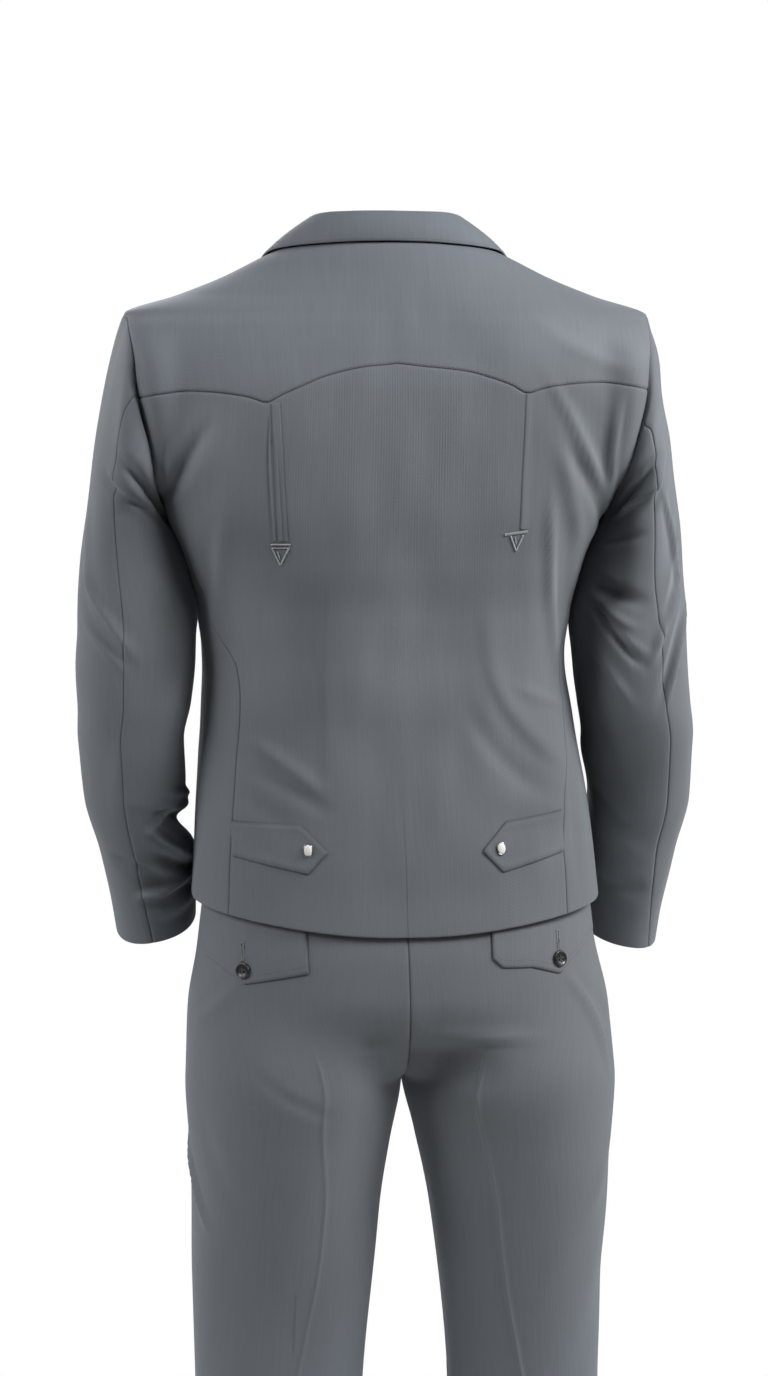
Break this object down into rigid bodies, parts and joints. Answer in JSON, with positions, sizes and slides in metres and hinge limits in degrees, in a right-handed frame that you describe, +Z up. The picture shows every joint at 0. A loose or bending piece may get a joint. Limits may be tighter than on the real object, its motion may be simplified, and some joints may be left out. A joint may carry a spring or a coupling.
{
  "type": "western suit",
  "caption": "Worn slate-grey western suit: jacket with curved back yoke, action pleats and pointed snap tabs, over straight trousers with pointed pocket flaps.",
  "frame": {"origin": "middle of the neck base, at the height of the lower edge of the collar at the centre back", "axes": "+Z up along the wearer's height, +Y out of the wearer's back, +X towards the wearer's left"},
  "size_m": [0.5788, 0.2706, 1.56],
  "materials": {
    "suit_cloth": "fine-ribbed slate-grey suiting, matt with a faint sheen",
    "tack_thread": "light grey embroidery thread",
    "snap_metal": "grey polished metal ring",
    "snap_pearl": "glossy pearl white",
    "dark_button": "dark satin button"
  },
  "bodies": {
    "root": {"arrow_tack_left": "tack_thread", "arrow_tack_right": "tack_thread", "collar_fall": "suit_cloth", "collar_stand": "suit_cloth", "flap_button_left": "dark_button", "flap_button_right": "dark_button", "front_snap_lower_cap": "snap_pearl", "front_snap_lower_rim": "snap_metal", "front_snap_upper_cap": "snap_pearl", "front_snap_upper_rim": "snap_metal", "jacket_back_left": "suit_cloth", "jacket_back_right": "suit_cloth", "jacket_front_left": "suit_cloth", "jacket_front_right": "suit_cloth", "jacket_side_left": "suit_cloth", "jacket_side_right": "suit_cloth", "jacket_yoke": "suit_cloth", "lapel_left": "suit_cloth", "lapel_right": "suit_cloth", "pleat_fold_left": "suit_cloth", "pleat_fold_right": "suit_cloth", "pocket_flap_left": "suit_cloth", "pocket_flap_right": "suit_cloth", "side_pocket_left": "suit_cloth", "side_pocket_right": "suit_cloth", "sleeve_top_left": "suit_cloth", "sleeve_top_right": "suit_cloth", "sleeve_under_left": "suit_cloth", "sleeve_under_right": "suit_cloth", "tab_snap_left_cap": "snap_pearl", "tab_snap_left_rim": "snap_metal", "tab_snap_right_cap": "snap_pearl", "tab_snap_right_rim": "snap_metal", "trouser_back_left": "suit_cloth", "trouser_back_right": "suit_cloth", "trouser_fly": "suit_cloth", "trouser_front_left": "suit_cloth", "trouser_front_right": "suit_cloth", "waist_tab_left": "suit_cloth", "waist_tab_right": "suit_cloth", "waistband": "suit_cloth", "waistband_button": "dark_button"}
  },
  "joints": []
}
